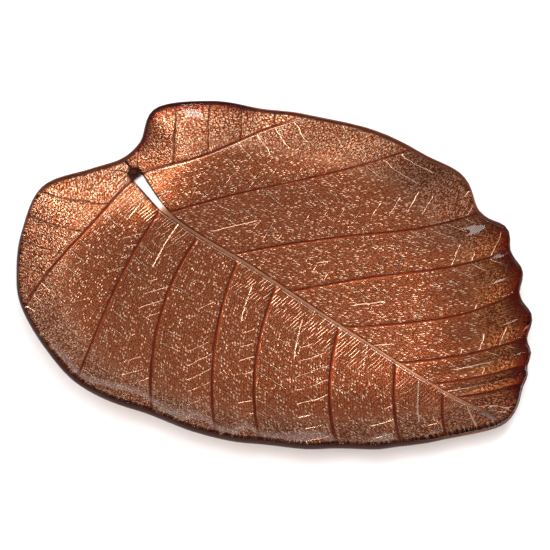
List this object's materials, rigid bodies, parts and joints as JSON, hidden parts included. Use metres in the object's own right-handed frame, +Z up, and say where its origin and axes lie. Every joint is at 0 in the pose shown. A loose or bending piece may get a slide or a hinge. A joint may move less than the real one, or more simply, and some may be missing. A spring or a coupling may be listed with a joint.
{
  "type": "leaf-shaped glass serving dish",
  "caption": "Shallow leaf-shaped glass serving dish with pressed veins, an upturned scalloped rim and a copper-coloured coat under the glass.",
  "frame": {"origin": "centre of the bounding box in plan, on the plane the pads stand on", "axes": "+Z up out of the dish, +X along the midrib from the stalk towards the tip"},
  "size_m": [0.3502, 0.3018, 0.0256],
  "materials": {
    "clear_glass": "fire-polished clear glass, glossy on top",
    "copper_paint": "copper-coloured metallic paint with a fine sparkle, seen through the glass",
    "seal_lacquer": "brown seal lacquer, satin",
    "pad_plastic": "clear soft plastic, slightly milky"
  },
  "bodies": {
    "root": {"glass_leaf": "clear_glass", "copper_coat": "copper_paint", "backing_lacquer": "seal_lacquer", "bumper_pad_1": "pad_plastic", "bumper_pad_2": "pad_plastic", "bumper_pad_3": "pad_plastic", "bumper_pad_4": "pad_plastic"}
  },
  "joints": []
}
